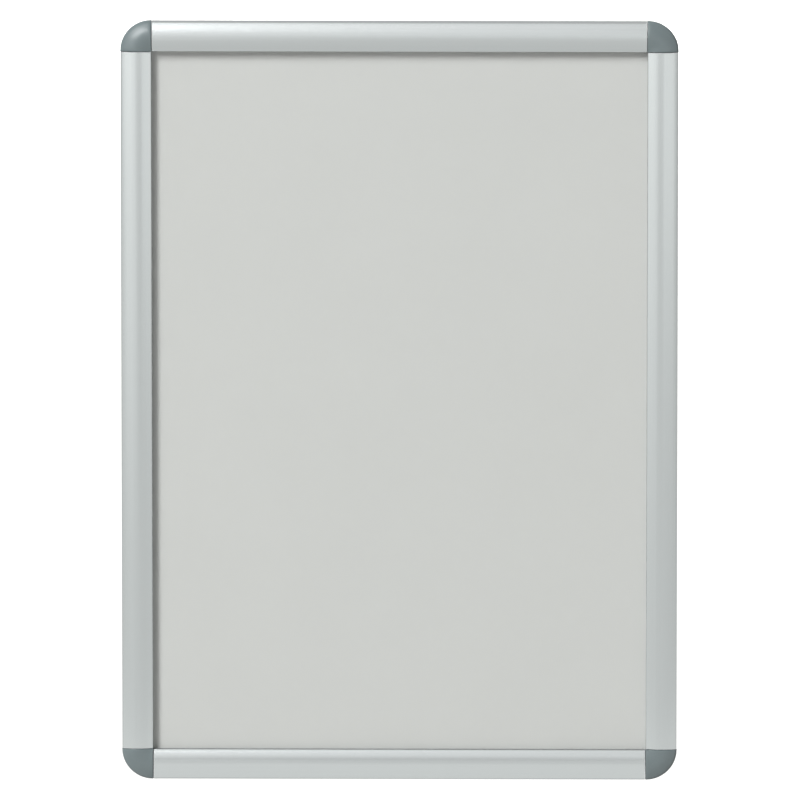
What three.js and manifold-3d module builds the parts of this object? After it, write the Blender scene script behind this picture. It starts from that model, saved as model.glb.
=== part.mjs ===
// Snap-open poster frame for an A2 sheet, with rounded corner covers.
// Four sprung rails hinge outwards along the outer edge, so that the poster changes from the front.
// Millimetres. +X right, +Z up, the front faces -Y and the wall is the plane y = 0.
// The frame is built lying on its back, as x right, y up, z forward, and stood up at the end.
// Every section is drawn in (across, height): outward from the window's edge, forward from the wall.

import * as THREE from 'three';
import { mergeVertices } from 'three/addons/utils/BufferGeometryUtils.js';
import Module from 'manifold-3d';

const wasm = await Module();
wasm.setup();

// Overall sizes
const posterWidth = 420;
const posterHeight = 594;
const profileWidth = 25;

// Layers behind the rails, from the wall forward
const flangeThickness = 1.2; // back flange of the base profile
const panelThickness = 2;
const bedThickness = 1; // flange that the poster lies on
const posterGap = 0.3; // room for the poster
const sheetThickness = 0.5;

// Clearances
const fitGap = 0.3; // between pieces that seat in each other
const edgeGap = 0.6; // between the sheet's edge and the web beside it
const endGap = 0.4; // between a cut end and the corner
const sweepGap = 0.5; // round a piece that swings
const cutOverrun = 1; // how far a cutting tool passes the surface

// Base profile
const webThickness = 1.2;
const chamberWidth = 3.65; // inside, where a corner bracket's arm goes
const flangeEdge = 1.4; // the back flange stops this far inside the rail's outer face
const flangeSetback = 3; // and this far short of the window's edge
const bedSetback = 0.6; // the bed stops this far short of the window's edge
const beadRadius = 1.2;
const legThickness = 0.9;
const legAngle = THREE.MathUtils.degToRad(251);

// Snap rail
const railThickness = 1.2;
const edgeHeight = 10.1; // where the rounded outer edge meets the arch
const edgeRadius = 2;
const crestHeight = 13.3; // control point of the arch
const lipHeight = 11; // where the arch meets the lip at the window
const lipRadius = 0.5;
const hookThickness = 1;
const hookStart = THREE.MathUtils.degToRad(12);
const hookEnd = THREE.MathUtils.degToRad(218);
const openAngle = THREE.MathUtils.degToRad(90);
const crestShare = 0.42; // place of the arch's control point across the profile

// Leaf springs that hold a rail shut or open
const springLength = 25;
const springThickness = 0.5;
const springBow = 1;
const leverReach = 3; // from the hinge line to the rail's spring seat
const seatRise = 2.9; // height of the base's spring seat over the hinge line
const seatWall = 0.6;
const seatSpan = THREE.MathUtils.degToRad(70); // to each side of the way the spring pushes
const springInset = 60; // from the rail's end to the middle of its first spring
const shortRailSprings = 2;
const longRailSprings = 3;

// Corner bracket, its wall-screw hole and its lock screws
const armLength = 30;
const wallHoleRadius = 2.1;
const wallHeadRadius = 3.8;
const wallHeadDepth = 2;
const lockScrewRadius = 1;
const lockScrewLength = 3;
const lockSocketRadius = 0.5;
const lockSocketDepth = 1.2;
const lockScrewGap = 0.25;
const coreSetback = 1.2; // the bracket's core stops this far inside the rails' outer faces

// Corner cover
const coverProud = 0.2; // beyond the rails' outer faces
const coverRise = 0.3; // in front of the rails' arch
const coverWall = 1.6;
const postRadius = 1.4;
const postSetback = 5; // from the corner's straight sides

// Facets
const archSteps = 12; // along each curve of a rail's arch
const domeSteps = 7; // along each curve of a corner cover
const arcSteps = 6;
const springSteps = 4;
const quarterSteps = 16;
const holeSteps = 16;

// Sizes that follow from the ones above
const slotTop = flangeThickness + panelThickness + 2 * fitGap;
const bedTop = slotTop + bedThickness;
const sheetBack = bedTop + posterGap;
const sheetFront = sheetBack + sheetThickness;
const lipFoot = sheetFront + fitGap;

const hookInner = beadRadius + fitGap;
const hookOuter = hookInner + hookThickness;
const pivotAcross = profileWidth - railThickness - hookOuter;
const pivotHeight = flangeThickness + sweepGap + railThickness + hookOuter;
const wallFoot = pivotHeight + fitGap;

const seatRadius = springThickness / 2 + fitGap;
const lobeRadius = seatRadius + seatWall;
const chamberOuter = pivotAcross - leverReach - lobeRadius - sweepGap - webThickness;
const chamberMiddle = chamberOuter - chamberWidth / 2;
const webOuter = chamberOuter - chamberWidth;
const webInner = webOuter - webThickness;
const posterOverlap = webInner - edgeGap; // how far the rails cover the poster's edge
const windowWidth = posterWidth - 2 * posterOverlap;
const windowHeight = posterHeight - 2 * posterOverlap;
const lockInset = armLength / 2;

const pivot = new THREE.Vector2(pivotAcross, pivotHeight);
const baseSeat = new THREE.Vector2(webOuter + seatRadius, pivotHeight + seatRise);
const seatDirection = Math.atan2(baseSeat.y - pivot.y, baseSeat.x - pivot.x);
const leverAngle = seatDirection + openAngle / 2; // the springs pass dead centre half way
const leverSeat = pointAt(pivot, leverReach, leverAngle);
const springRun = baseSeat.distanceTo(leverSeat);
const bowAngle = 2 * Math.atan(2 * springBow / springRun); // between the strip's end and its chord

const coreRadius = profileWidth - coreSetback;
const crestAcross = crestShare * profileWidth;

const anodised = finish('anodised_aluminium', 0xc9cbcb, 0.38, 0.9);
const mill = finish('mill_aluminium', 0xb9bbbc, 0.5, 0.9);
const springSteel = finish('spring_steel', 0x85888c, 0.35, 1);
const zinc = finish('die_cast_zinc', 0x9a9d9f, 0.5, 0.8);
const blackSteel = finish('black_steel', 0x2e2f31, 0.5, 0.7);
const greyPlastic = finish('grey_plastic', 0x7d8587, 0.45, 0);
const panelPlastic = finish('panel_polystyrene', 0xcfd0cd, 0.6, 0);
const clearPlastic = finish('clear_sheet', 0xeef1ef, 0.3, 0);
clearPlastic.transparent = true;
clearPlastic.opacity = 0.35;

function finish(name, color, roughness, metalness) {
  const material = new THREE.MeshStandardMaterial({ color, roughness, metalness });
  material.name = name;
  return material;
}

// Point at a distance and angle from a centre
function pointAt(centre, distance, angle) {
  return new THREE.Vector2(
    centre.x + distance * Math.cos(angle),
    centre.y + distance * Math.sin(angle),
  );
}

// A closed geometry as a solid: shared vertices merged, and the flat triangles at poles left out
function solidFrom(geometry) {
  const bare = geometry.clone();
  bare.deleteAttribute('normal');
  bare.deleteAttribute('uv');
  const merged = mergeVertices(bare);
  const corners = merged.index.array;
  const kept = [];
  for (let i = 0; i < corners.length; i += 3) {
    const [a, b, c] = corners.subarray(i, i + 3);
    if (a !== b && b !== c && c !== a) {
      kept.push(a, b, c);
    }
  }
  return new wasm.Manifold(new wasm.Mesh({
    numProp: 3,
    vertProperties: new Float32Array(merged.attributes.position.array),
    triVerts: new Uint32Array(kept),
  }));
}

function geometryFrom(solid) {
  const mesh = solid.getMesh();
  const geometry = new THREE.BufferGeometry();
  geometry.setAttribute('position', new THREE.BufferAttribute(new Float32Array(mesh.vertProperties), 3));
  geometry.setIndex(new THREE.BufferAttribute(new Uint32Array(mesh.triVerts), 1));
  geometry.computeVertexNormals();
  return geometry;
}

function join(solids) {
  return solids.reduce((whole, solid) => whole.add(solid));
}

function cut(solid, tools) {
  return tools.reduce((rest, tool) => rest.subtract(tool), solid);
}

function namedMesh(name, solid, material) {
  const mesh = new THREE.Mesh(geometryFrom(solid), material);
  mesh.name = name;
  return mesh;
}

// Solids drawn from an outline

// A section pushed along its profile, centred on the profile's middle
function extruded(shape, length, steps = arcSteps) {
  const geometry = new THREE.ExtrudeGeometry(shape, {
    depth: length,
    bevelEnabled: false,
    curveSegments: steps,
  });
  geometry.translate(0, 0, -length / 2);
  return solidFrom(geometry);
}

// A plan outline raised from one height to another
function raised(shape, from, to) {
  const geometry = new THREE.ExtrudeGeometry(shape, {
    depth: to - from,
    bevelEnabled: false,
    curveSegments: quarterSteps,
  });
  geometry.translate(0, 0, from);
  return solidFrom(geometry);
}

// A block between two opposite corners
function block(low, high) {
  const size = high.clone().sub(low);
  const geometry = new THREE.BoxGeometry(size.x, size.y, size.z);
  const middle = low.clone().add(high).multiplyScalar(0.5);
  geometry.translate(middle.x, middle.y, middle.z);
  return solidFrom(geometry);
}

// A round pin or hole that stands on the plan
function upright(x, y, radius, from, to, topRadius = radius) {
  const geometry = new THREE.CylinderGeometry(topRadius, radius, to - from, holeSteps);
  geometry.rotateX(Math.PI / 2);
  geometry.translate(x, y, (from + to) / 2);
  return solidFrom(geometry);
}

function rectangle(x0, y0, x1, y1) {
  return new THREE.Shape([
    new THREE.Vector2(x0, y0),
    new THREE.Vector2(x1, y0),
    new THREE.Vector2(x1, y1),
    new THREE.Vector2(x0, y1),
  ]);
}

function disc(centre, radius) {
  return new THREE.Shape().absarc(centre.x, centre.y, radius, 0, 2 * Math.PI);
}

function ringSector(centre, inner, outer, start, end) {
  const shape = new THREE.Shape();
  shape.absarc(centre.x, centre.y, outer, start, end);
  shape.absarc(centre.x, centre.y, inner, end, start, true);
  return shape;
}

// Arched top of a section, from the outer wall's foot up and over to the window's side
function archPath(outer, inner, lift, foot) {
  const shoulder = edgeHeight + lift;
  const slope = (crestHeight - edgeHeight) / (profileWidth - edgeRadius - crestAcross);
  const path = new THREE.Path();
  path.moveTo(outer, foot);
  path.lineTo(outer, shoulder - edgeRadius);
  path.quadraticCurveTo(outer, shoulder - slope * edgeRadius, outer - edgeRadius, shoulder);
  path.quadraticCurveTo(crestAcross, crestHeight + lift, inner, lipHeight + lift);
  return path;
}

// Base profile: the fixed extrusion against the wall
// Back flange, panel slot, poster bed, bracket chamber, hinge bead on its leg and spring seat

function hingeLeg() {
  const along = pointAt(new THREE.Vector2(), 1, legAngle);
  const reach = (pivotHeight - flangeThickness / 2) / -along.y;
  const side = new THREE.Vector2(-along.y, along.x).multiplyScalar(legThickness / 2);
  const foot = pivot.clone().addScaledVector(along, reach);
  return new THREE.Shape([
    pivot.clone().add(side),
    pivot.clone().sub(side),
    foot.clone().sub(side),
    foot.clone().add(side),
  ]);
}

function baseSection(length) {
  const pushed = seatDirection + bowAngle;
  const solids = [
    rectangle(flangeSetback, 0, profileWidth - flangeEdge, flangeThickness),
    rectangle(bedSetback, slotTop, chamberOuter + webThickness, bedTop),
    rectangle(chamberOuter, 0, chamberOuter + webThickness, bedTop),
    rectangle(webInner, 0, webOuter, baseSeat.y + seatRadius),
    ringSector(baseSeat, seatRadius, lobeRadius, pushed - seatSpan, pushed + seatSpan),
    hingeLeg(),
    disc(pivot, beadRadius),
  ].map((shape) => extruded(shape, length));
  return cut(join(solids), [extruded(disc(baseSeat, seatRadius), length + 2 * cutOverrun)]);
}

function lockScrewHole(along) {
  const radius = lockScrewRadius + lockScrewGap;
  const geometry = new THREE.CylinderGeometry(radius, radius, flangeThickness + 2 * cutOverrun, holeSteps);
  geometry.translate(chamberMiddle, flangeThickness / 2, along);
  return solidFrom(geometry);
}

function baseProfile(windowLength) {
  const holePlace = windowLength / 2 - lockInset;
  return cut(baseSection(windowLength - 2 * endGap), [
    lockScrewHole(holePlace),
    lockScrewHole(-holePlace),
  ]);
}

// Snap rail: the arched extrusion that hooks over the bead and swings open

function railShell() {
  const outside = archPath(profileWidth, lipRadius, 0, wallFoot);
  outside.quadraticCurveTo(0, lipHeight, 0, lipHeight - lipRadius);
  outside.lineTo(0, lipFoot);
  const inside = archPath(profileWidth - railThickness, railThickness, -railThickness, wallFoot);
  inside.lineTo(railThickness, lipFoot);
  return new THREE.Shape([
    ...outside.getPoints(archSteps),
    ...inside.getPoints(archSteps).reverse(),
  ]);
}

function snapRail(windowLength) {
  const length = windowLength - 2 * endGap;
  const pushed = leverAngle - Math.PI - bowAngle;
  const hookMiddle = pivotAcross + hookInner + hookThickness / 2;
  const solids = [
    railShell(),
    ringSector(pivot, hookInner, hookOuter, hookStart, hookEnd),
    rectangle(hookMiddle, wallFoot, profileWidth - railThickness / 2, wallFoot + railThickness),
    ringSector(leverSeat, seatRadius, lobeRadius, pushed - seatSpan, pushed + seatSpan),
  ].map((shape) => extruded(shape, length));
  return cut(join(solids), [extruded(disc(leverSeat, seatRadius), length + 2 * cutOverrun)]);
}

// Leaf spring: a bowed strip with rounded ends, one end in each seat

function leafSpring() {
  const half = springThickness / 2;
  const chord = baseSeat.clone().sub(leverSeat).normalize();
  const backward = new THREE.Vector2(-chord.y, chord.x);
  const bend = springRun / 2 / Math.sin(bowAngle);
  const centre = leverSeat.clone().add(baseSeat).multiplyScalar(0.5);
  centre.addScaledVector(backward, bend - springBow);
  const start = Math.atan2(leverSeat.y - centre.y, leverSeat.x - centre.x);
  const end = Math.atan2(baseSeat.y - centre.y, baseSeat.x - centre.x);
  const shape = new THREE.Shape();
  shape.absarc(centre.x, centre.y, bend + half, start, end);
  shape.absarc(baseSeat.x, baseSeat.y, half, end, end + Math.PI);
  shape.absarc(centre.x, centre.y, bend - half, end, start, true);
  shape.absarc(leverSeat.x, leverSeat.y, half, start + Math.PI, start + 2 * Math.PI);
  return extruded(shape, springLength, springSteps);
}

function springPlaces(windowLength, count) {
  const first = springInset - windowLength / 2;
  const step = -2 * first / (count - 1);
  return Array.from({ length: count }, (_, i) => first + i * step);
}

// Corner bracket, in plan from the window's corner outward
// A back plate, a core round the sheet's corner, the poster bed and two arms in the base profiles

function quarterDisc(radius) {
  const shape = new THREE.Shape();
  shape.moveTo(0, 0);
  shape.lineTo(radius, 0);
  shape.absarc(0, 0, radius, 0, Math.PI / 2);
  return shape;
}

function bracketCore() {
  const shape = new THREE.Shape();
  shape.moveTo(webInner, 0);
  shape.lineTo(coreRadius, 0);
  shape.absarc(0, 0, coreRadius, 0, Math.PI / 2);
  shape.lineTo(0, webInner);
  shape.lineTo(webInner, webInner);
  return shape;
}

const armNear = webOuter + fitGap;
const armFar = chamberOuter - fitGap;
const armBottom = flangeThickness + fitGap;
const armTop = slotTop - fitGap;
const postPlace = (armFar + coreRadius) / 2;
const wallHolePlace = (webInner * Math.SQRT2 + coreRadius) / 2 / Math.SQRT2;

// The two arms, posts and lock screws of a corner lie mirrored about its diagonal
function bothWays(make) {
  return [make((x, y) => [x, y]), make((x, y) => [y, x])];
}

function bracketArm(place) {
  const [x0, y0] = place(armNear, -armLength);
  const [x1, y1] = place(armFar, webInner);
  return block(new THREE.Vector3(x0, y0, armBottom), new THREE.Vector3(x1, y1, armTop));
}

function cornerBracket() {
  const bedSpan = webInner + webThickness;
  const solids = [
    raised(quarterDisc(coreRadius), 0, flangeThickness),
    raised(bracketCore(), 0, bedTop),
    raised(rectangle(0, 0, bedSpan, bedSpan), slotTop, bedTop),
    ...bothWays(bracketArm),
  ];
  const wallHole = wallHolePlace;
  const holes = [
    upright(wallHole, wallHole, wallHoleRadius, -cutOverrun, bedTop + cutOverrun),
    upright(wallHole, wallHole, wallHoleRadius, bedTop - wallHeadDepth, bedTop, wallHeadRadius),
    ...bothWays((place) => {
      const [x, y] = place(postPlace, postSetback);
      return upright(x, y, postRadius + fitGap, -cutOverrun, bedTop + cutOverrun);
    }),
    ...bothWays((place) => {
      const [x, y] = place(chamberMiddle, -lockInset);
      return upright(x, y, lockScrewRadius + lockScrewGap, -cutOverrun, bedTop);
    }),
  ];
  return cut(join(solids), holes);
}

function lockScrew() {
  const back = armTop - lockScrewLength;
  const body = upright(0, 0, lockScrewRadius, back, armTop);
  return cut(body, [upright(0, 0, lockSocketRadius, back - cutOverrun, back + lockSocketDepth)]);
}

// Corner cover: the rails' arch turned about the window's corner, hollow, on two posts

function turned(points) {
  const geometry = new THREE.LatheGeometry(points, 4 * quarterSteps);
  geometry.rotateX(Math.PI / 2);
  return solidFrom(geometry);
}

function domeProfile(radius, lift, foot) {
  const arch = archPath(radius, 0, lift, foot).getPoints(domeSteps);
  return [new THREE.Vector2(0, foot), ...arch];
}

function cornerCover() {
  const outerRadius = profileWidth + coverProud;
  const innerRadius = outerRadius - coverWall;
  const top = crestHeight + coverRise;
  const quarter = (from) => block(
    new THREE.Vector3(from, from, 0),
    new THREE.Vector3(outerRadius + cutOverrun, outerRadius + cutOverrun, top),
  );
  const dome = turned(domeProfile(outerRadius, coverRise, lipFoot)).intersect(quarter(0));
  const inside = turned(domeProfile(innerRadius, coverRise - coverWall, lipFoot - cutOverrun));
  const hollow = inside.intersect(quarter(coverWall));
  const posts = bothWays((place) => {
    const [x, y] = place(postPlace, postSetback);
    return upright(x, y, postRadius, flangeThickness, edgeHeight);
  });
  return join([dome.subtract(hollow), ...posts]);
}

// Back panel and clear sheet

function layer(halfGrowth, from, to) {
  const x = windowWidth / 2 + halfGrowth;
  const y = windowHeight / 2 + halfGrowth;
  return block(new THREE.Vector3(-x, -y, from), new THREE.Vector3(x, y, to));
}

// Assembly

const sides = [
  { name: 'right', reach: windowWidth / 2, length: windowHeight, springs: longRailSprings },
  { name: 'top', reach: windowHeight / 2, length: windowWidth, springs: shortRailSprings },
  { name: 'left', reach: windowWidth / 2, length: windowHeight, springs: longRailSprings },
  { name: 'bottom', reach: windowHeight / 2, length: windowWidth, springs: shortRailSprings },
];

const corners = [
  { name: 'top_right', x: windowWidth / 2, y: windowHeight / 2 },
  { name: 'top_left', x: -windowWidth / 2, y: windowHeight / 2 },
  { name: 'bottom_left', x: -windowWidth / 2, y: -windowHeight / 2 },
  { name: 'bottom_right', x: windowWidth / 2, y: -windowHeight / 2 },
];

// One side, drawn for the right-hand side and turned to its place by quarter turns
function sideGroup(side, turns) {
  const section = new THREE.Group();
  section.position.x = side.reach;
  section.rotation.x = Math.PI / 2;
  section.add(namedMesh(`base_profile_${side.name}`, baseProfile(side.length), mill));
  section.add(namedMesh(`snap_rail_${side.name}`, snapRail(side.length), anodised));
  springPlaces(side.length, side.springs).forEach((place, i) => {
    const spring = namedMesh(`leaf_spring_${side.name}_${i + 1}`, leafSpring(), springSteel);
    spring.position.z = place;
    section.add(spring);
  });
  const group = new THREE.Group();
  group.rotation.z = turns * Math.PI / 2;
  group.add(section);
  return group;
}

function cornerGroup(corner, turns) {
  const group = new THREE.Group();
  group.position.set(corner.x, corner.y, 0);
  group.rotation.z = turns * Math.PI / 2;
  group.add(namedMesh(`corner_bracket_${corner.name}`, cornerBracket(), zinc));
  group.add(namedMesh(`corner_cover_${corner.name}`, cornerCover(), greyPlastic));
  bothWays((place) => place(chamberMiddle, -lockInset)).forEach(([x, y], i) => {
    const screw = namedMesh(`lock_screw_${corner.name}_${i + 1}`, lockScrew(), blackSteel);
    screw.position.set(x, y, 0);
    group.add(screw);
  });
  return group;
}

const frame = new THREE.Group();
frame.rotation.x = Math.PI / 2;
sides.forEach((side, turns) => frame.add(sideGroup(side, turns)));
corners.forEach((corner, turns) => frame.add(cornerGroup(corner, turns)));

const panelFrom = flangeThickness + fitGap;
frame.add(namedMesh(
  'back_panel', layer(webInner - fitGap, panelFrom, panelFrom + panelThickness), panelPlastic,
));
frame.add(namedMesh('cover_sheet', layer(posterOverlap, sheetBack, sheetFront), clearPlastic));

const model = new THREE.Group();
model.add(frame);
export default model;
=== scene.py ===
# Snap-open poster frame for an A2 sheet: finishes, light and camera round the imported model.
# Metres, +Z up, the front faces -Y. Sections are drawn in millimetres as (across, height):
# across runs outward from the window's edge, height runs forward from the wall.

import bpy
import bmesh
import math
from mathutils import Matrix, Vector


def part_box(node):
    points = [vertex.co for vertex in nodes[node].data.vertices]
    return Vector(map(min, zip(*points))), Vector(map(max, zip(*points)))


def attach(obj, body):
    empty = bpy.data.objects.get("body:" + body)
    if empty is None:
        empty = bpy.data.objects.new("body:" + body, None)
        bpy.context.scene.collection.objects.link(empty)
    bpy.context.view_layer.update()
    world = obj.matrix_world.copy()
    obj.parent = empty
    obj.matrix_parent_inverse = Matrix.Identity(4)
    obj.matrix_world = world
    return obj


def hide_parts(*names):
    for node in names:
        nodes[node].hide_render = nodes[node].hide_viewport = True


mm = 0.001
quarterTurn = math.pi / 2
nodeSpacing = 180  # between nodes as the editor lays them out

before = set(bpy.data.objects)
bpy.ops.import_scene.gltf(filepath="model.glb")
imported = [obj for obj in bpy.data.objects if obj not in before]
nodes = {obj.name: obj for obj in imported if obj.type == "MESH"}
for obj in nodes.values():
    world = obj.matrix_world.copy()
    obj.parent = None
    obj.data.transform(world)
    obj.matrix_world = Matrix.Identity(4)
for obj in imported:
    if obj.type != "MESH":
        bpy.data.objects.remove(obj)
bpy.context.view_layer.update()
sideNames = ("right", "top", "left", "bottom")  # in quarter turns from the right-hand side
cornerNames = ("top_right", "top_left", "bottom_left", "bottom_right")
print("frame loaded:", len(nodes), "nodes")


# Colour and nodes; the looks give the sizes and depths of their patterns in millimetres

def linear(hexColour):
    # sRGB hex to the linear colour that shaders want
    channels = [int(hexColour[i:i + 2], 16) / 255 for i in (1, 3, 5)]
    return [c / 12.92 if c <= 0.04045 else ((c + 0.055) / 1.055) ** 2.4 for c in channels] + [1.0]


def addNode(tree, kind, inputs=None, **settings):
    node = tree.nodes.new(kind)
    node.location.x = nodeSpacing * len(tree.nodes)
    for name, value in settings.items():
        setattr(node, name, value)
    for socket, value in (inputs or {}).items():
        if isinstance(value, bpy.types.NodeSocket):
            tree.links.new(value, node.inputs[socket])
        else:
            node.inputs[socket].default_value = value
    return node


def newObject(name, data):
    obj = bpy.data.objects.new(name, data)
    bpy.context.scene.collection.objects.link(obj)
    return obj


def newMaterial(name, **surface):
    # a material with one Principled shader, whose constant inputs are given, and the place on the piece
    material = bpy.data.materials.new(name)
    material.use_nodes = True
    shader = material.node_tree.nodes["Principled BSDF"]
    for socket, value in surface.items():
        shader.inputs[socket.replace("_", " ")].default_value = value
    material.diffuse_color = shader.inputs["Base Color"].default_value
    place = addNode(material.node_tree, "ShaderNodeTexCoord").outputs["Object"]
    return material, material.node_tree, shader, place


def perMetre(size):
    # noise scale whose features are about that many millimetres
    return 1 / (size * mm)


def giveSurface(tree, shader, look, shadeBy, roughBy, normal=None):
    # blends the look's two colours and its two roughnesses, each pair by a pattern;
    # a mix takes its colours at sockets 6 and 7 and gives the result at socket 2
    colour = addNode(tree, "ShaderNodeMix", {
        "Factor": shadeBy, 6: linear(look["colour"]), 7: linear(look["shade"]),
    }, data_type="RGBA")
    tree.links.new(colour.outputs[2], shader.inputs["Base Color"])
    low, high = look["roughness"]
    rough = addNode(tree, "ShaderNodeMapRange", {"Value": roughBy, "To Min": low, "To Max": high})
    tree.links.new(rough.outputs[0], shader.inputs["Roughness"])
    if normal is not None:
        tree.links.new(normal, shader.inputs["Normal"])


def dieLines(tree, place, look, axis, detail):
    # noise drawn out along the profile; axis is the way the profile runs, 0 for X and 2 for Z
    stretch = [perMetre(look["lineWidth"])] * 3
    stretch[axis] = perMetre(look["lineLength"])
    lined = addNode(tree, "ShaderNodeMapping", {"Vector": place, "Scale": stretch}, vector_type="POINT")
    lines = addNode(tree, "ShaderNodeTexNoise", {"Vector": lined.outputs[0], "Scale": 1.0, "Detail": detail})
    return lines.outputs[0]


# Anodised aluminium: extruded, etched to satin and anodised.
# Even silver with a soft sheen, and very faint lines along the extrusion left by the die.
anodisedLook = {
    "colour": "#ACB0B0",
    "shade": "#A7ABAB",  # in the die lines
    "roughness": (0.17, 0.23),
    "lineWidth": 1.4,  # mm; real die lines are about 0.2, too fine to show here
    "lineLength": 900,
    "grain": 0.7,  # mm; the etch is finer, drawn as coarse as it needs to show
    "lineDepth": 0.003,
    "grainDepth": 0.002,
}


def anodisedAluminium(name, axis):
    look = anodisedLook
    material, tree, shader, place = newMaterial(name, Metallic=1.0)
    lines = dieLines(tree, place, look, axis, detail=3.0)
    grain = addNode(tree, "ShaderNodeTexNoise", {
        "Vector": place, "Scale": perMetre(look["grain"]), "Detail": 2.0,
    }).outputs[0]
    lineBump = addNode(tree, "ShaderNodeBump", {"Height": lines, "Distance": look["lineDepth"] * mm})
    bump = addNode(tree, "ShaderNodeBump", {
        "Height": grain, "Distance": look["grainDepth"] * mm, "Normal": lineBump.outputs[0],
    })
    giveSurface(tree, shader, look, lines, grain, bump.outputs[0])
    return material


# Sawn aluminium: the cut ends, bare metal under the anodising.
# Brighter than the faces, with faint wavering marks from the saw blade.
sawnLook = {
    "colour": "#DDDFDF",
    "shade": "#CFD2D3",
    "roughness": 0.38,
    "markScale": 100,  # per metre
    "wavering": 1.5,
    "markDepth": 0.01,
}


def sawnAluminium():
    look = sawnLook
    material, tree, shader, place = newMaterial("sawn_aluminium", Metallic=1.0, Roughness=look["roughness"])
    marks = addNode(tree, "ShaderNodeTexWave", {
        "Vector": place, "Scale": look["markScale"], "Distortion": look["wavering"], "Detail": 2.0,
    }, bands_direction="DIAGONAL").outputs[1]
    colour = addNode(tree, "ShaderNodeMix", {
        "Factor": marks, 6: linear(look["colour"]), 7: linear(look["shade"]),
    }, data_type="RGBA")
    bump = addNode(tree, "ShaderNodeBump", {"Height": marks, "Distance": look["markDepth"] * mm})
    tree.links.new(colour.outputs[2], shader.inputs["Base Color"])
    tree.links.new(bump.outputs[0], shader.inputs["Normal"])
    return material


# Mill-finish aluminium: the base profiles as they leave the press.
# Duller and streakier than the rails, with long die lines.
millLook = {
    "colour": "#B4B7B8",
    "shade": "#A2A6A8",
    "roughness": (0.34, 0.52),
    "lineWidth": 0.8,
    "lineLength": 400,
    "lineDepth": 0.01,
}


def millAluminium(name, axis):
    look = millLook
    material, tree, shader, place = newMaterial(name, Metallic=1.0)
    lines = dieLines(tree, place, look, axis, detail=5.0)
    bump = addNode(tree, "ShaderNodeBump", {"Height": lines, "Distance": look["lineDepth"] * mm})
    giveSurface(tree, shader, look, lines, lines, bump.outputs[0])
    return material


# ABS: injection moulded in a spark-eroded tool.
# Mid grey with a fine even grain and a soft highlight on the rounded edges.
absLook = {
    "colour": "#6E7A7C",
    "shade": "#687476",
    "clouds": 12,
    "roughness": (0.19, 0.29),
    "grain": 0.45,
    "grainDepth": 0.008,
}


def greyAbs():
    look = absLook
    material, tree, shader, place = newMaterial("moulded_abs", IOR=1.53)
    grain = addNode(tree, "ShaderNodeTexNoise", {
        "Vector": place, "Scale": perMetre(look["grain"]), "Detail": 3.0,
    }).outputs[0]
    clouds = addNode(tree, "ShaderNodeTexNoise", {
        "Vector": place, "Scale": perMetre(look["clouds"]), "Detail": 2.0,
    }).outputs[0]
    bump = addNode(tree, "ShaderNodeBump", {"Height": grain, "Distance": look["grainDepth"] * mm})
    giveSurface(tree, shader, look, clouds, grain, bump.outputs[0])
    return material


# Die-cast zinc: the corner brackets, tumbled and left bare.
# Mottled blue-grey metal with a slightly pitted skin.
zincLook = {
    "colour": "#9EA2A5",
    "shade": "#83888C",
    "roughness": (0.42, 0.6),
    "mottle": 3.5,
    "pits": 0.6,
    "pitDepth": 0.02,
}


def castZinc():
    look = zincLook
    material, tree, shader, place = newMaterial("die_cast_zinc", Metallic=1.0)
    mottle = addNode(tree, "ShaderNodeTexNoise", {
        "Vector": place, "Scale": perMetre(look["mottle"]), "Detail": 6.0,
    }).outputs[0]
    pits = addNode(tree, "ShaderNodeTexNoise", {
        "Vector": place, "Scale": perMetre(look["pits"]), "Detail": 2.0,
    }).outputs[0]
    bump = addNode(tree, "ShaderNodeBump", {"Height": pits, "Distance": look["pitDepth"] * mm})
    giveSurface(tree, shader, look, mottle, mottle, bump.outputs[0])
    return material


# Spring steel: blued strip, ground before hardening.
# Dark and glossy, its sheen broken by fine grinding.
springLook = {
    "colour": "#8A8D92",
    "shade": "#6C727C",  # where the bluing is deeper
    "bluing": 9,
    "roughness": (0.25, 0.4),
    "grind": 0.25,
}


def springSteel():
    look = springLook
    material, tree, shader, place = newMaterial("spring_steel", Metallic=1.0)
    grind = addNode(tree, "ShaderNodeTexNoise", {
        "Vector": place, "Scale": perMetre(look["grind"]), "Detail": 3.0,
    }).outputs[0]
    bluing = addNode(tree, "ShaderNodeTexNoise", {
        "Vector": place, "Scale": perMetre(look["bluing"]), "Detail": 1.0,
    }).outputs[0]
    giveSurface(tree, shader, look, bluing, grind)
    return material


# Black-oxide steel: the set screws.
# Nearly black with a dull oily sheen, browner where the coat is thin.
oxideLook = {
    "colour": "#2C2D30",
    "shade": "#3E3A38",  # where the coat is thin
    "roughness": (0.36, 0.52),
    "patches": 0.8,
}


def blackOxide():
    look = oxideLook
    material, tree, shader, place = newMaterial("black_oxide_steel", Metallic=0.8)
    patches = addNode(tree, "ShaderNodeTexNoise", {
        "Vector": place, "Scale": perMetre(look["patches"]), "Detail": 3.0,
    }).outputs[0]
    giveSurface(tree, shader, look, patches, patches)
    return material


# Polystyrene: extruded sheet, matt on both sides.
# Pale warm grey with a faint orange-peel skin.
panelLook = {
    "colour": "#D0D2CF",
    "shade": "#CDCFCC",
    "clouds": 90,
    "roughness": (0.55, 0.65),
    "peel": 2.2,
    "peelDepth": 0.02,
}


def panelPolystyrene():
    look = panelLook
    material, tree, shader, place = newMaterial("polystyrene_sheet", IOR=1.59)
    peel = addNode(tree, "ShaderNodeTexNoise", {
        "Vector": place, "Scale": perMetre(look["peel"]), "Detail": 2.0,
    }).outputs[0]
    clouds = addNode(tree, "ShaderNodeTexNoise", {
        "Vector": place, "Scale": perMetre(look["clouds"]), "Detail": 2.0,
    }).outputs[0]
    bump = addNode(tree, "ShaderNodeBump", {"Height": peel, "Distance": look["peelDepth"] * mm})
    giveSurface(tree, shader, look, clouds, peel, bump.outputs[0])
    return material


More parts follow.
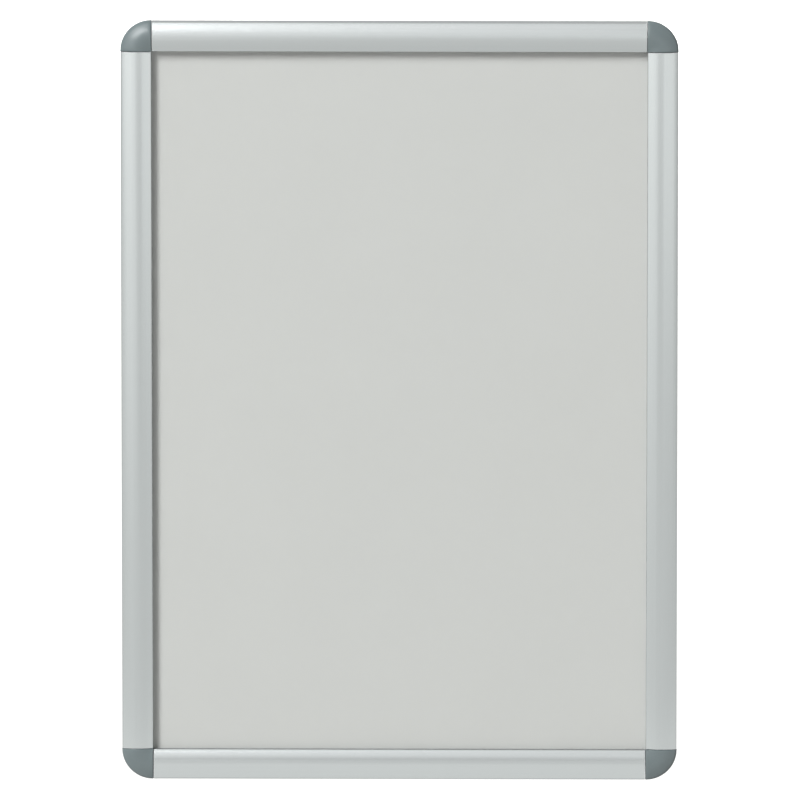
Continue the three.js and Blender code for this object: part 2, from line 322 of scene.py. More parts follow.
# Anti-glare PET: clear sheet with a matt face.
# A thin haze from the front that closes up at grazing angles.
sheetLook = {
    "colour": "#F2F3F2",
    "haze": 0.08,
    "slant": 0.5,  # how early the sheet counts as seen aslant
    "closing": 4,
    "roughness": (0.3, 0.38),
    "matt": 0.5,
    "mattDepth": 0.006,
}


def antiGlareSheet():
    look = sheetLook
    colour = linear(look["colour"])
    material, tree, shader, place = newMaterial("anti_glare_pet", IOR=1.57, Base_Color=colour)
    matt = addNode(tree, "ShaderNodeTexNoise", {
        "Vector": place, "Scale": perMetre(look["matt"]), "Detail": 2.0,
    }).outputs[0]
    low, high = look["roughness"]
    rough = addNode(tree, "ShaderNodeMapRange", {"Value": matt, "To Min": low, "To Max": high})
    bump = addNode(tree, "ShaderNodeBump", {"Height": matt, "Distance": look["mattDepth"] * mm})
    # the same from both sides, so that light is not held back inside the sheet
    slant = addNode(tree, "ShaderNodeLayerWeight", {"Blend": look["slant"]}).outputs["Facing"]
    grazing = addNode(tree, "ShaderNodeMath", {0: slant, 1: look["closing"]}, operation="POWER")
    cover = addNode(tree, "ShaderNodeMath", {
        0: grazing.outputs[0], 1: 1.0 - look["haze"], 2: look["haze"],
    }, operation="MULTIPLY_ADD")
    tree.links.new(rough.outputs[0], shader.inputs["Roughness"])
    tree.links.new(bump.outputs[0], shader.inputs["Normal"])
    tree.links.new(cover.outputs[0], shader.inputs["Alpha"])
    return material


railFinish = [
    anodisedAluminium("anodised_aluminium_upright", 2),
    anodisedAluminium("anodised_aluminium_level", 0),
]
baseFinish = [millAluminium("mill_aluminium_upright", 2), millAluminium("mill_aluminium_level", 0)]
sawnFinish = sawnAluminium()
absFinish = greyAbs()
zincFinish = castZinc()
springFinish = springSteel()
oxideFinish = blackOxide()
panelFinish = panelPolystyrene()
sheetFinish = antiGlareSheet()
print("materials made")


# Outlines in the section plane, as lists of (across, height) in millimetres

def arc(centre, radius, start, end, steps):
    turns = [start + (end - start) * i / steps for i in range(steps + 1)]
    return [(centre[0] + radius * math.cos(t), centre[1] + radius * math.sin(t)) for t in turns]


def bend(first, control, last, steps):
    # quadratic curve, without its first point
    points = []
    for i in range(1, steps + 1):
        t = i / steps
        weighted = list(zip(((1 - t) ** 2, 2 * t * (1 - t), t * t), (first, control, last)))
        points.append(tuple(sum(w * p[k] for w, p in weighted) for k in (0, 1)))
    return points


def polar(centre, distance, angle):
    return (centre[0] + distance * math.cos(angle), centre[1] + distance * math.sin(angle))


railSizes = {
    "width": 25.0,
    "wall": 1.2,
    "edgeHeight": 10.1,  # where the rounded outer edge meets the arch
    "edgeRadius": 2.0,
    "crest": (12.5, 13.3),  # control point of the arch
    "lipHeight": 10.3,
    "lipRadius": 1.1,
    "lipFoot": 5.9,
    "lipUndercut": 0.75,  # the lip leans back under its rounded nose
    "noseSteps": 6,
    "wallFoot": 5.7,
    "pivot": (21.3, 5.4),
    "hookInner": 1.5,
    "hookOuter": 2.5,
    "hookAngles": (12, 218),  # degrees
    "hookSteps": 36,
    "seatInner": 0.55,
    "seatOuter": 1.15,
    "seatSpan": 70,  # degrees to either side of the spring's push
    "seatSteps": (20, 16),  # outer and inner round
    "leverReach": 3.0,
    "archSteps": 48,
    "edgeSteps": 12,
    "ease": 0.3,  # broken edge at the cut ends
}
springSizes = {
    "baseSeat": (12.35, 8.3),
    "thickness": 0.5,
    "bow": 1.0,
    "ease": 0.12,
    "steps": 16,
    "endSteps": 8,
}


def archCurve(outer, inner, lift):
    # from the outer wall's foot up and over to the window's side
    s = railSizes
    radius = s["edgeRadius"]
    shoulder = s["edgeHeight"] + lift
    crest = (s["crest"][0], s["crest"][1] + lift)
    slope = (s["crest"][1] - s["edgeHeight"]) / (s["width"] - radius - crest[0])
    corner = (outer, shoulder - slope * radius)
    points = [(outer, s["wallFoot"]), (outer, shoulder - radius)]
    points += bend(points[-1], corner, (outer - radius, shoulder), s["edgeSteps"])
    points += bend(points[-1], crest, (inner, s["lipHeight"] + lift), s["archSteps"])
    return points


def leverGeometry():
    # the spring's seat in the rail, and the angle that the bowed spring makes with its chord
    pivot, baseSeat = railSizes["pivot"], springSizes["baseSeat"]
    seatDirection = math.atan2(baseSeat[1] - pivot[1], baseSeat[0] - pivot[0])
    leverAngle = seatDirection + quarterTurn / 2
    leverSeat = polar(pivot, railSizes["leverReach"], leverAngle)
    run = math.dist(leverSeat, baseSeat)
    return leverSeat, leverAngle, run, 2 * math.atan(2 * springSizes["bow"] / run)


def railOutlines():
    s = railSizes
    outside = archCurve(s["width"], s["lipRadius"], 0)
    nose = (0, s["lipHeight"])
    outside += bend(outside[-1], nose, (0, s["lipHeight"] - s["lipRadius"]), s["noseSteps"])
    outside.append((s["lipUndercut"], s["lipFoot"]))
    inside = archCurve(s["width"] - s["wall"], s["wall"], -s["wall"])
    inside.append((s["wall"], s["lipFoot"]))
    shell = outside + inside[::-1]
    start, end = (math.radians(a) for a in s["hookAngles"])
    hook = arc(s["pivot"], s["hookOuter"], start, end, s["hookSteps"])
    hook += arc(s["pivot"], s["hookInner"], end, start, s["hookSteps"])
    middle = s["pivot"][0] + (s["hookInner"] + s["hookOuter"]) / 2
    reach = s["width"] - s["wall"] / 2
    under, over = s["wallFoot"], s["wallFoot"] + s["wall"]
    bridge = [(middle, under), (reach, under), (reach, over), (middle, over)]
    leverSeat, leverAngle, _, bowAngle = leverGeometry()
    pushed = leverAngle - math.pi - bowAngle
    span = math.radians(s["seatSpan"])
    seat = arc(leverSeat, s["seatOuter"], pushed - span, pushed + span, s["seatSteps"][0])
    seat += arc(leverSeat, s["seatInner"], pushed + span, pushed - span, s["seatSteps"][1])
    return [shell, hook, bridge, seat]


def springOutline():
    s = springSizes
    leverSeat, _, run, bowAngle = leverGeometry()
    baseSeat = s["baseSeat"]
    half = s["thickness"] / 2
    along = ((baseSeat[0] - leverSeat[0]) / run, (baseSeat[1] - leverSeat[1]) / run)
    radius = run / 2 / math.sin(bowAngle)
    away = radius - s["bow"]
    middle = ((leverSeat[0] + baseSeat[0]) / 2, (leverSeat[1] + baseSeat[1]) / 2)
    centre = (middle[0] - along[1] * away, middle[1] + along[0] * away)
    start = math.atan2(leverSeat[1] - centre[1], leverSeat[0] - centre[0])
    end = math.atan2(baseSeat[1] - centre[1], baseSeat[0] - centre[0])
    points = arc(centre, radius + half, start, end, s["steps"])
    points += arc(baseSeat, half, end, end + math.pi, s["endSteps"])[1:]
    points += arc(centre, radius - half, end, start, s["steps"])[1:]
    points += arc(leverSeat, half, start + math.pi, start + 2 * math.pi, s["endSteps"])[1:-1]
    return points


# Geometry Nodes: a section swept straight along its piece, with broken edges at the cut ends,
# repeated at even steps and turned to its side of the frame

sweepSizes = {
    "drawIn": -0.7,  # the end rings draw in by this share of the broken edge's width
    "tolerance": 0.00001,  # metres, past which a point belongs to an end ring
    "cutShare": 0.4,  # a face whose normal points along the piece by more than this is a cut end
    "smoothAngle": 30,
}


def extrusionTree():
    s = sweepSizes
    tree = bpy.data.node_groups.new("straightExtrusion", "GeometryNodeTree")
    face = tree.interface
    face.new_socket("Section", in_out="INPUT", socket_type="NodeSocketGeometry")
    for name in ("Reach", "Length", "Ease", "First", "Step"):
        face.new_socket(name, in_out="INPUT", socket_type="NodeSocketFloat")
    face.new_socket("Count", in_out="INPUT", socket_type="NodeSocketInt")
    face.new_socket("Turn", in_out="INPUT", socket_type="NodeSocketVector")
    face.new_socket("Face", in_out="INPUT", socket_type="NodeSocketMaterial")
    face.new_socket("Cut", in_out="INPUT", socket_type="NodeSocketMaterial")
    face.new_socket("Piece", in_out="OUTPUT", socket_type="NodeSocketGeometry")
    given = addNode(tree, "NodeGroupInput").outputs
    half = addNode(tree, "ShaderNodeMath", {0: given["Length"], 1: 0.5}, operation="MULTIPLY").outputs[0]
    low = addNode(tree, "ShaderNodeMath", {0: half, 1: -1.0}, operation="MULTIPLY").outputs[0]
    inset = addNode(tree, "ShaderNodeMath", {0: half, 1: given["Ease"]}, operation="SUBTRACT").outputs[0]
    # four stations along the piece: both ends, and one broken edge's width inside each
    path = addNode(tree, "GeometryNodeCurvePrimitiveLine", {
        "Start": addNode(tree, "ShaderNodeCombineXYZ", {"Z": low}).outputs[0],
        "End": addNode(tree, "ShaderNodeCombineXYZ", {"Z": half}).outputs[0],
    })
    stations = addNode(tree, "GeometryNodeResampleCurve", {"Curve": path.outputs[0], "Count": 4})
    position = addNode(tree, "GeometryNodeInputPosition").outputs[0]
    height = addNode(tree, "ShaderNodeSeparateXYZ", {0: position}).outputs["Z"]
    side = addNode(tree, "ShaderNodeMath", {0: height}, operation="SIGN").outputs[0]
    index = addNode(tree, "GeometryNodeInputIndex").outputs[0]
    # the two middle stations, 1 and 2, move out until only the broken edge's width is left
    inner = [addNode(tree, "FunctionNodeCompare", {2: index, 3: station}, data_type="INT", operation="EQUAL")
             for station in (1, 2)]
    middle = addNode(tree, "FunctionNodeBooleanMath", {
        0: inner[0].outputs[0], 1: inner[1].outputs[0],
    }, operation="OR")
    place = addNode(tree, "ShaderNodeMath", {0: inset, 1: side}, operation="MULTIPLY").outputs[0]
    spaced = addNode(tree, "GeometryNodeSetPosition", {
        "Geometry": stations.outputs[0], "Selection": middle.outputs[0],
        "Position": addNode(tree, "ShaderNodeCombineXYZ", {"Z": place}).outputs[0],
    })
    outline = addNode(tree, "GeometryNodeMeshToCurve", {"Mesh": given["Section"]})
    swept = addNode(tree, "GeometryNodeCurveToMesh", {
        "Curve": spaced.outputs[0], "Profile Curve": outline.outputs[0], "Fill Caps": True,
    })
    whole = addNode(tree, "GeometryNodeMeshBoolean", {
        "Self Intersection": True,
    }, operation="UNION", solver="EXACT")
    tree.links.new(swept.outputs[0], whole.inputs["Mesh 2"])
    # broken edges: the end rings shrink along their own normals
    normal = addNode(tree, "ShaderNodeSeparateXYZ", {0: addNode(tree, "GeometryNodeInputNormal").outputs[0]})
    level = addNode(tree, "ShaderNodeCombineXYZ", {"X": normal.outputs["X"], "Y": normal.outputs["Y"]})
    outward = addNode(tree, "ShaderNodeVectorMath", {0: level.outputs[0]}, operation="NORMALIZE")
    drawn = addNode(tree, "ShaderNodeMath", {0: given["Ease"], 1: s["drawIn"]}, operation="MULTIPLY")
    shift = addNode(tree, "ShaderNodeVectorMath", {
        0: outward.outputs[0], "Scale": drawn.outputs[0],
    }, operation="SCALE")
    far = addNode(tree, "ShaderNodeMath", {0: height}, operation="ABSOLUTE").outputs[0]
    edge = addNode(tree, "ShaderNodeMath", {0: inset, 1: s["tolerance"]}, operation="ADD").outputs[0]
    atEnd = addNode(tree, "FunctionNodeCompare", {
        0: far, 1: edge,
    }, data_type="FLOAT", operation="GREATER_THAN")
    eased = addNode(tree, "GeometryNodeSetPosition", {
        "Geometry": whole.outputs[0], "Selection": atEnd.outputs[0], "Offset": shift.outputs[0],
    })
    # faces that look along the piece are the cut ends
    faced = addNode(tree, "GeometryNodeSetMaterial", {
        "Geometry": eased.outputs[0], "Material": given["Face"],
    })
    along = addNode(tree, "ShaderNodeMath", {0: normal.outputs["Z"]}, operation="ABSOLUTE").outputs[0]
    isCut = addNode(tree, "FunctionNodeCompare", {
        0: along, 1: s["cutShare"],
    }, data_type="FLOAT", operation="GREATER_THAN")
    cut = addNode(tree, "GeometryNodeSetMaterial", {
        "Geometry": faced.outputs[0], "Selection": isCut.outputs[0], "Material": given["Cut"],
    })
    begin = addNode(tree, "ShaderNodeCombineXYZ", {"X": given["Reach"], "Z": given["First"]}).outputs[0]
    seats = addNode(tree, "GeometryNodeMeshLine", {
        "Count": given["Count"], "Start Location": begin,
        "Offset": addNode(tree, "ShaderNodeCombineXYZ", {"Z": given["Step"]}).outputs[0],
    })
    copies = addNode(tree, "GeometryNodeInstanceOnPoints", {
        "Points": seats.outputs[0], "Instance": cut.outputs[0],
    })
    real = addNode(tree, "GeometryNodeRealizeInstances", {0: copies.outputs[0]})
    turned = addNode(tree, "GeometryNodeTransform", {"Geometry": real.outputs[0]})
    spin = addNode(tree, "FunctionNodeEulerToRotation", {0: given["Turn"]})
    tree.links.new(spin.outputs[0], turned.inputs["Rotation"])
    out = addNode(tree, "NodeGroupOutput")
    tree.links.new(turned.outputs[0], out.inputs[0])
    return tree


def wireObject(name, outlines):
    # closed outlines in the section plane as a wire mesh, across on X and forward on -Y
    points, edges = [], []
    for outline in outlines:
        first = len(points)
        points += [(x * mm, -y * mm, 0) for x, y in outline]
        edges += [(first + i, first + (i + 1) % len(outline)) for i in range(len(outline))]
    mesh = bpy.data.meshes.new(name)
    mesh.from_pydata(points, edges, [])
    return newObject(name, mesh)


def grown(obj, tree, **values):
    # runs a tree on an object and keeps the result as a plain mesh
    modifier = obj.modifiers.new(tree.name, "NODES")
    modifier.node_group = tree
    for item in tree.interface.items_tree:
        if item.name in values:
            modifier[item.identifier] = values[item.name]
    obj.update_tag()
    bpy.context.view_layer.update()
    graph = bpy.context.evaluated_depsgraph_get()
    mesh = bpy.data.meshes.new_from_object(obj.evaluated_get(graph), depsgraph=graph)
    obj.modifiers.clear()
    old = obj.data
    obj.data = mesh
    bpy.data.meshes.remove(old)
    mesh.name = obj.name
    smooth(mesh, sweepSizes["smoothAngle"])
    return obj


def smooth(mesh, degrees):
    mesh.shade_smooth()
    mesh.set_sharp_from_angle(angle=math.radians(degrees))


extrusion = extrusionTree()
for turn, side in enumerate(sideNames):
    low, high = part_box(f"snap_rail_{side}")
    upright = turn % 2 == 0
    reach = min(abs(low.x), abs(high.x)) if upright else min(abs(low.z), abs(high.z))
    length = high.z - low.z if upright else high.x - low.x
    turned = (0, -turn * quarterTurn, 0)
    rail = wireObject(f"rail_{side}", railOutlines())
    grown(rail, extrusion, Reach=reach, Length=length, Ease=railSizes["ease"] * mm, First=0.0,
          Step=0.0, Count=1, Turn=turned, Face=railFinish[turn % 2], Cut=sawnFinish)
    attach(rail, f"rail_{side}")
    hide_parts(f"snap_rail_{side}")

    # the springs of this side, at the places of their solids
    stood = sorted(name for name in nodes if name.startswith(f"leaf_spring_{side}_"))
    axis = 2 if upright else 0
    sign = (1, -1, -1, 1)[turn]  # which way the piece's length points once it is turned to its side
    boxes = [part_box(name) for name in stood]
    middles = sorted(sign * (box[0][axis] + box[1][axis]) / 2 for box in boxes)
    strip = boxes[0][1][axis] - boxes[0][0][axis]
    springs = wireObject(f"springs_{side}_strips", [springOutline()])
    grown(springs, extrusion, Reach=reach, Length=strip, Ease=springSizes["ease"] * mm, First=middles[0],
          Step=middles[1] - middles[0], Count=len(middles), Turn=turned, Face=springFinish, Cut=springFinish)
    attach(springs, f"springs_{side}")
    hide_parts(*stood)
print("rails and springs made")


# Corner covers: the arch turned about the window's corner, hollow, on two posts

coverSizes = {
    "radius": 25.2,
    # the crown rises from the window's corner and falls to the shoulder, then a slope leads on to the brow
    # and the brow rounds to the skirt
    "middle": 10.6,
    "crest": (11.0, 12.9),  # control points of these three stretches
    "slope": (20.6, 10.87),
    "edgeBend": (25.2, 9.24),
    "shoulder": (18.0, 11.42),
    "brow": (23.2, 9.95),
    "skirt": 7.4,
    "crownSteps": 20,
    "slopeSteps": 8,
    "browSteps": 12,
    "wall": 1.6,
    "foot": 5.9,
    "postRadius": 1.4,
    "postPlace": (19.475, 5.0),
    "postFoot": 1.2,
    "postTop": 10.1,
    "postLead": 0.25,  # of its radius
    "postSteps": 24,
    "edge": 0.45,  # rounding of the edges over the straight walls
    "edgeSteps": 3,
    "edgeFrom": 3.4,  # the rounding starts this far from the window's corner
    "edgeTurn": 0.6,  # radians between two faces, from which an edge is rounded
    "flat": 1e-7,  # metres from a straight wall's plane
    "endStrip": 8,  # degrees between a straight wall and the next column, so that the rounding has room
    "ribDepth": 0.32,  # a rib on each straight wall nearly closes the gap to the rail's cut end
    "ribFrom": 0.9,
    "ribTo": 25.0,
    "ribFoot": 5.1,
    "ribTop": 7.6,
    "turnSteps": 32,
    "margin": 1,  # spare around the hollow's cutting shapes, and above the foot
    "roomHeight": 20,
    "smoothAngle": 32,
}


def meshObject(name, fill):
    # a mesh object whose bmesh is made by fill
    shape = bmesh.new()
    fill(shape)
    mesh = bpy.data.meshes.new(name)
    shape.to_mesh(mesh)
    shape.free()
    return newObject(name, mesh)


def carve(obj, tool, operation):
    # boolean of two closed meshes; the tool is used up
    cutter = obj.modifiers.new("carve", "BOOLEAN")
    cutter.operation = operation
    cutter.solver = "EXACT"
    cutter.object = tool
    graph = bpy.context.evaluated_depsgraph_get()
    mesh = bpy.data.meshes.new_from_object(obj.evaluated_get(graph), depsgraph=graph)
    obj.modifiers.clear()
    obj.data = mesh
    bpy.data.objects.remove(tool)
    return obj


def quarterDome(shape, profile, foot, edge):
    # a quarter turn of a profile about the upright axis, closed by two straight walls and a base
    s = coverSizes
    strip = math.radians(s["endStrip"])
    between = quarterTurn - 2 * strip
    turns = [strip + between * j / s["turnSteps"] for j in range(s["turnSteps"] + 1)]
    columns = []
    for turn in (0, *turns, quarterTurn):
        columns.append([shape.verts.new((r * math.cos(turn) * mm, r * math.sin(turn) * mm, v * mm))
                        for r, v in profile if r > 0])
    pole = shape.verts.new((0, 0, profile[-1][1] * mm))
    base = shape.verts.new((0, 0, foot * mm))
    for near, far in zip(columns, columns[1:]):
        for i in range(len(near) - 1):
            shape.faces.new((near[i], far[i], far[i + 1], near[i + 1]))
        shape.faces.new((near[-1], far[-1], pole))
        shape.faces.new((base, far[0], near[0]))
    shape.faces.new([base] + columns[0] + [pole])
    shape.faces.new([pole] + columns[-1][::-1] + [base])
    bmesh.ops.recalc_face_normals(shape, faces=shape.faces[:])
    if edge:
        ridge = [e for e in shape.edges if len(e.link_faces) == 2 and e.calc_face_angle(0) > s["edgeTurn"]
                 and min(v.co.z for v in e.verts) > (foot + s["margin"]) * mm
                 and max(v.co.xy.length for v in e.verts) > s["edgeFrom"] * mm
                 and min(max(v.co[k] for v in e.verts) for k in (0, 1)) < s["flat"]]
        bmesh.ops.bevel(shape, geom=ridge, offset=edge * mm, segments=s["edgeSteps"], profile=0.5,
                        affect="EDGES")
    bmesh.ops.recalc_face_normals(shape, faces=shape.faces[:])


def brick(shape, low, high):
    # a closed box between two corners, in millimetres
    spans = list(zip(low, high))
    verts = [shape.verts.new((x * mm, y * mm, z * mm)) for x in spans[0] for y in spans[1] for z in spans[2]]
    for loop in ((0, 1, 3, 2), (4, 6, 7, 5), (0, 4, 5, 1), (2, 3, 7, 6), (0, 2, 6, 4), (1, 5, 7, 3)):
        shape.faces.new([verts[i] for i in loop])
    bmesh.ops.recalc_face_normals(shape, faces=shape.faces[:])


def pin(shape, place, radius, low, high):
    # a round post with a small lead-in at its foot
    lead = radius * coverSizes["postLead"]
    steps = coverSizes["postSteps"]
    rings = []
    for r, z in ((radius - lead, low), (radius, low + lead), (radius, high)):
        points = [(*polar(place, r, 2 * math.pi * i / steps), z) for i in range(steps)]
        rings.append([shape.verts.new([c * mm for c in point]) for point in points])
    for lower, upper in zip(rings, rings[1:]):
        for i in range(steps):
            after = (i + 1) % steps
            shape.faces.new((lower[i], lower[after], upper[after], upper[i]))
    shape.faces.new(rings[0][::-1])
    shape.faces.new(rings[-1])
    bmesh.ops.recalc_face_normals(shape, faces=shape.faces[:])


def coverProfile(inset, foot):
    # from the skirt's foot up and over to the window's corner, drawn in by the wall for the hollow
    s = coverSizes
    share = 1 - inset / s["radius"]
    drawnIn = ("edgeBend", "brow", "slope", "shoulder", "crest")
    at = {name: (s[name][0] * share, s[name][1] - inset) for name in drawnIn}
    outer = s["radius"] * share
    points = [(outer, foot), (outer, s["skirt"] - inset)]
    points += bend(points[-1], at["edgeBend"], at["brow"], s["browSteps"])
    points += bend(points[-1], at["slope"], at["shoulder"], s["slopeSteps"])
    points += bend(points[-1], at["crest"], (0, s["middle"] - inset), s["crownSteps"])
    return points


def cornerCover():
    s = coverSizes
    reach = s["radius"] + s["margin"]
    below = s["skirt"] - s["wall"] - s["margin"]
    outside, inside = coverProfile(0, s["foot"]), coverProfile(s["wall"], below)
    cover = meshObject("cover", lambda shape: quarterDome(shape, outside, s["foot"], s["edge"]))
    hollow = meshObject("hollow", lambda shape: quarterDome(shape, inside, below, 0))
    near, far = (s["wall"], s["wall"], 0), (reach, reach, s["roomHeight"])
    room = meshObject("room", lambda shape: brick(shape, near, far))
    carve(hollow, room, "INTERSECT")
    carve(cover, hollow, "DIFFERENCE")
    through, along = (-s["ribDepth"], s["wall"] / 2), (s["ribFrom"], s["ribTo"])
    up = (s["ribFoot"], s["ribTop"])
    for spans in ((through, along, up), (along, through, up)):
        carve(cover, meshObject("rib", lambda shape: brick(shape, *zip(*spans))), "UNION")
    for place in (s["postPlace"], s["postPlace"][::-1]):
        post = meshObject("post", lambda shape: pin(
            shape, place, s["postRadius"], s["postFoot"], s["postTop"]))
        carve(cover, post, "UNION")
    return cover


pattern = cornerCover()
for turn, corner in enumerate(cornerNames):
    low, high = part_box(f"corner_cover_{corner}")
    window = Vector((low.x if low.x > 0 else high.x, 0, low.z if low.z > 0 else high.z))
    stand = Matrix.Rotation(quarterTurn, 4, "X")  # plan (x, y, z forward) stood up against the wall
    around = Matrix.Rotation(-turn * quarterTurn, 4, "Y")
    mesh = pattern.data.copy()
    mesh.transform(Matrix.Translation(window) @ around @ stand)
    mesh.name = f"cover_{corner}_cap"
    mesh.materials.clear()
    mesh.materials.append(absFinish)
    smooth(mesh, coverSizes["smoothAngle"])
    cap = newObject(mesh.name, mesh)
    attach(cap, f"cover_{corner}")
    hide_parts(f"corner_cover_{corner}")
bpy.data.objects.remove(pattern)
print("corner covers made")


# Set screws: socket head cut by a hexagon, thread wound round the core, one on each solid's place

screwSizes = {
    "radius": 1.0,
    "core": 0.84,
    "length": 3.0,
    "socket": 0.52,
    "socketDepth": 1.2,
    "pitch": 0.4,
    "threadShare": 0.86,  # of the length that the thread takes up
    "sides": 32,
    "stepsPerTurn": 24,
}


def screwTree():
    tree = bpy.data.node_groups.new("setScrews", "GeometryNodeTree")
    face = tree.interface
    face.new_socket("Places", in_out="INPUT", socket_type="NodeSocketGeometry")
    for name in ("Radius", "Core", "Length", "Socket", "Socket Depth", "Turns"):
        face.new_socket(name, in_out="INPUT", socket_type="NodeSocketFloat")
    face.new_socket("Finish", in_out="INPUT", socket_type="NodeSocketMaterial")
    face.new_socket("Piece", in_out="OUTPUT", socket_type="NodeSocketGeometry")
    given = addNode(tree, "NodeGroupInput").outputs
    body = addNode(tree, "GeometryNodeMeshCylinder", {
        "Vertices": screwSizes["sides"], "Radius": given["Core"], "Depth": given["Length"],
    })
    cut = addNode(tree, "ShaderNodeMath", {0: given["Socket Depth"], 1: 2.0}, operation="MULTIPLY").outputs[0]
    hexagon = addNode(tree, "GeometryNodeMeshCylinder", {
        "Vertices": 6, "Radius": given["Socket"], "Depth": cut,
    })
    back = addNode(tree, "ShaderNodeMath", {0: given["Length"], 1: -0.5}, operation="MULTIPLY").outputs[0]
    placed = addNode(tree, "GeometryNodeTransform", {
        "Geometry": hexagon.outputs[0],
        "Translation": addNode(tree, "ShaderNodeCombineXYZ", {"Z": back}).outputs[0],
    })
    socketed = addNode(tree, "GeometryNodeMeshBoolean", {
        "Mesh 1": body.outputs[0], "Mesh 2": placed.outputs[0],
    }, operation="DIFFERENCE", solver="EXACT")
    depth = addNode(tree, "ShaderNodeMath", {0: given["Radius"], 1: given["Core"]}, operation="SUBTRACT")
    tall = addNode(tree, "ShaderNodeMath", {
        0: given["Length"], 1: screwSizes["threadShare"],
    }, operation="MULTIPLY").outputs[0]
    helix = addNode(tree, "GeometryNodeCurveSpiral", {
        "Resolution": screwSizes["stepsPerTurn"], "Rotations": given["Turns"],
        "Start Radius": given["Core"], "End Radius": given["Core"], "Height": tall,
    })
    ridge = addNode(tree, "GeometryNodeCurvePrimitiveCircle", {"Resolution": 4, "Radius": depth.outputs[0]})
    thread = addNode(tree, "GeometryNodeCurveToMesh", {
        "Curve": helix.outputs[0], "Profile Curve": ridge.outputs[0], "Fill Caps": True,
    })
    low = addNode(tree, "ShaderNodeMath", {0: tall, 1: -0.5}, operation="MULTIPLY").outputs[0]
    wound = addNode(tree, "GeometryNodeTransform", {
        "Geometry": thread.outputs[0],
        "Translation": addNode(tree, "ShaderNodeCombineXYZ", {"Z": low}).outputs[0],
    })
    screw = addNode(tree, "GeometryNodeJoinGeometry")
    tree.links.new(socketed.outputs[0], screw.inputs[0])
    tree.links.new(wound.outputs[0], screw.inputs[0])
    copies = addNode(tree, "GeometryNodeInstanceOnPoints", {
        "Points": given["Places"], "Instance": screw.outputs[0], "Rotation": (quarterTurn, 0, 0),
    })
    real = addNode(tree, "GeometryNodeRealizeInstances", {0: copies.outputs[0]})
    done = addNode(tree, "GeometryNodeSetMaterial", {
        "Geometry": real.outputs[0], "Material": given["Finish"],
    })
    out = addNode(tree, "NodeGroupOutput")
    tree.links.new(done.outputs[0], out.inputs[0])
    return tree


screwNodes = sorted(name for name in nodes if name.startswith("lock_screw_"))
screwMesh = bpy.data.meshes.new("lock_screws")
screwMesh.from_pydata([(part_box(name)[0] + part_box(name)[1]) / 2 for name in screwNodes], [], [])
screws = newObject("lock_screws", screwMesh)
grown(screws, screwTree(), **{
    "Radius": screwSizes["radius"] * mm,
    "Core": screwSizes["core"] * mm,
    "Length": screwSizes["length"] * mm,
    "Socket": screwSizes["socket"] * mm,
    "Socket Depth": screwSizes["socketDepth"] * mm,
    "Turns": screwSizes["threadShare"] * screwSizes["length"] / screwSizes["pitch"],
    "Finish": oxideFinish,
})
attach(screws, "frame")
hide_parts(*screwNodes)
print("set screws made")


# Finishes of the solids that stay as they are

def dress(name, material):
    nodes[name].data.materials.clear()
    nodes[name].data.materials.append(material)


for turn, side in enumerate(sideNames):
    dress(f"base_profile_{side}", baseFinish[turn % 2])
for corner in cornerNames:
    dress(f"corner_bracket_{corner}", zincFinish)
dress("back_panel", panelFinish)
dress("cover_sheet", sheetFinish)
print("solids dressed")


# Stage: white studio, pale floor well below the frame

stageSizes = {
    "floorHeight": -0.62,
    "floorReach": 7.0,
    "floorColour": "#B3B3B1",
    "floorShade": "#AFAFAD",
    "floorRoughness": 0.9,
    "cloudScale": 1.2,  # per metre
    "floorGlow": 0.69,  # brings the lit floor up to the white of the backdrop, as seen and as mirrored
    "ambient": 0.11,
}


def seenRays(tree):
    # 1 on the rays that the eye follows: straight, mirrored or through the sheet
    rays = addNode(tree, "ShaderNodeLightPath").outputs
    direct = addNode(tree, "ShaderNodeMath", {
        0: rays["Is Camera Ray"], 1: rays["Is Glossy Ray"],
    }, operation="MAXIMUM")
    return addNode(tree, "ShaderNodeMath", {
        0: direct.outputs[0], 1: rays["Is Transmission Ray"],
    }, operation="MAXIMUM").outputs[0]


def makeFloor():
    s = stageSizes
    reach = s["floorReach"]
    corners = [(x * reach, y * reach, s["floorHeight"]) for x, y in ((-1, -1), (1, -1), (1, 1), (-1, 1))]
    mesh = bpy.data.meshes.new("floor")
    mesh.from_pydata(corners, [], [(0, 1, 2, 3)])
    # matt and pale, all but even
    material, tree, shader, place = newMaterial("studio_floor", Roughness=s["floorRoughness"])
    clouds = addNode(tree, "ShaderNodeTexNoise", {"Vector": place, "Scale": s["cloudScale"], "Detail": 2.0})
    colour = addNode(tree, "ShaderNodeMix", {
        "Factor": clouds.outputs[0], 6: linear(s["floorColour"]), 7: linear(s["floorShade"]),
    }, data_type="RGBA")
    tree.links.new(colour.outputs[2], shader.inputs["Base Color"])
    glow = addNode(tree, "ShaderNodeMath", {0: seenRays(tree), 1: s["floorGlow"]}, operation="MULTIPLY")
    shader.inputs["Emission Color"].default_value = (1, 1, 1, 1)
    tree.links.new(glow.outputs[0], shader.inputs["Emission Strength"])
    mesh.materials.append(material)
    newObject("floor", mesh)


def makeWorld():
    world = bpy.data.worlds.new("studio")
    bpy.context.scene.world = world
    world.use_nodes = True
    tree = world.node_tree
    strength = addNode(tree, "ShaderNodeMapRange", {"Value": seenRays(tree), "To Min": stageSizes["ambient"]})
    background = tree.nodes["Background"]
    background.inputs["Color"].default_value = (1, 1, 1, 1)
    tree.links.new(strength.outputs[0], background.inputs["Strength"])


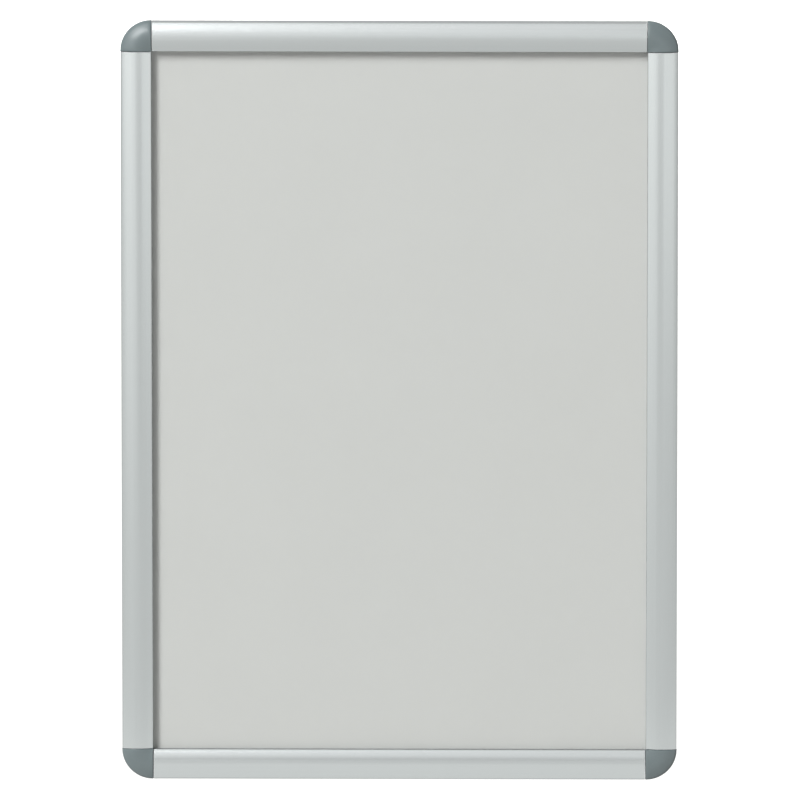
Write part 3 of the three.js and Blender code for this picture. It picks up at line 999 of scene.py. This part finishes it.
# Lamps, by the direction they come from: degrees left of straight ahead, and above level.
# The two without gloss, key and back, light every matt surface; the others are the studio's bright areas
# that metal and plastic mirror.
lampSizes = {
    "key": {
        "left": 43, "up": 40, "distance": 20.0, "width": 4.5, "height": 8.5, "radiance": 41.6, "gloss": False,
    },
    "softbox": {"left": 24, "up": 19, "distance": 2.9, "width": 1.75, "height": 2.3, "radiance": 1.3},
    "lower": {"left": 20, "up": -7, "distance": 2.8, "width": 1.4, "height": 0.4, "radiance": 0.3},
    "front": {"left": 0, "up": 16, "distance": 2.7, "width": 0.6, "height": 1.7, "radiance": 0.52},
    "side": {"left": -21, "up": 0, "distance": 2.8, "width": 1.4, "height": 0.75, "radiance": 0.62},
    "corner": {"left": 19, "up": 18, "distance": 3.0, "width": 0.85, "height": 0.75, "radiance": 9.6},
    "back": {
        "left": 180, "up": 3, "distance": 6.0, "width": 4.0, "height": 1.0, "radiance": 18.0, "gloss": False,
    },
    "card": {
        "left": 0, "up": -53, "distance": 0.5, "width": 1.6, "height": 0.5, "radiance": 0.26,
        "facing": (0, 0, 1),
    },
}


def towards(left, up):
    a, e = math.radians(left), math.radians(up)
    return Vector((-math.sin(a) * math.cos(e), -math.cos(a) * math.cos(e), math.sin(e)))


def makeLamp(name, left, up, distance, width, height, radiance, gloss=True, facing=None):
    # a lamp either lights or is mirrored; it looks at the frame's middle unless it is faced elsewhere
    lamp = bpy.data.lights.new(name, "AREA")
    lamp.shape = "RECTANGLE"
    lamp.size, lamp.size_y = width, height
    lamp.energy = radiance * math.pi * width * height
    obj = newObject(name, lamp)
    obj.location = towards(left, up) * distance
    back = -Vector(facing) if facing else towards(left, up)
    obj.rotation_euler = back.to_track_quat("Z", "Y").to_euler()
    obj.visible_camera = False
    obj.visible_glossy = gloss
    obj.visible_diffuse = not gloss


makeFloor()
makeWorld()
for name, sizes in lampSizes.items():
    makeLamp(name, **sizes)


# Camera: far off with a long lens, looking a little down and almost square on at the frame's middle
cameraSizes = {
    "elevation": 10.67,
    "azimuth": 0.58,  # toward the right
    "distance": 13.28,
    "pixelsPerMetre": 1235.6,
    "imageWidth": 800,
    "middle": (399.5, 399.75),  # where the middle of the frame's back falls in the image
    "clip": (1.0, 60.0),
}


def makeCamera():
    s = cameraSizes
    data = bpy.data.cameras.new("camera")
    camera = newObject("camera", data)
    back = towards(-s["azimuth"], s["elevation"])
    camera.location = back * s["distance"]
    camera.rotation_mode = "QUATERNION"
    camera.rotation_quaternion = back.to_track_quat("Z", "Y")
    data.lens = data.sensor_width * s["distance"] / (s["imageWidth"] / s["pixelsPerMetre"])
    data.shift_x = (s["imageWidth"] / 2 - s["middle"][0]) / s["imageWidth"]
    data.shift_y = (s["middle"][1] - s["imageWidth"] / 2) / s["imageWidth"]
    data.clip_start, data.clip_end = s["clip"]
    bpy.context.scene.camera = camera


makeCamera()
bpy.context.scene.view_settings.view_transform = "Standard"
print("stage, lamps and camera made")
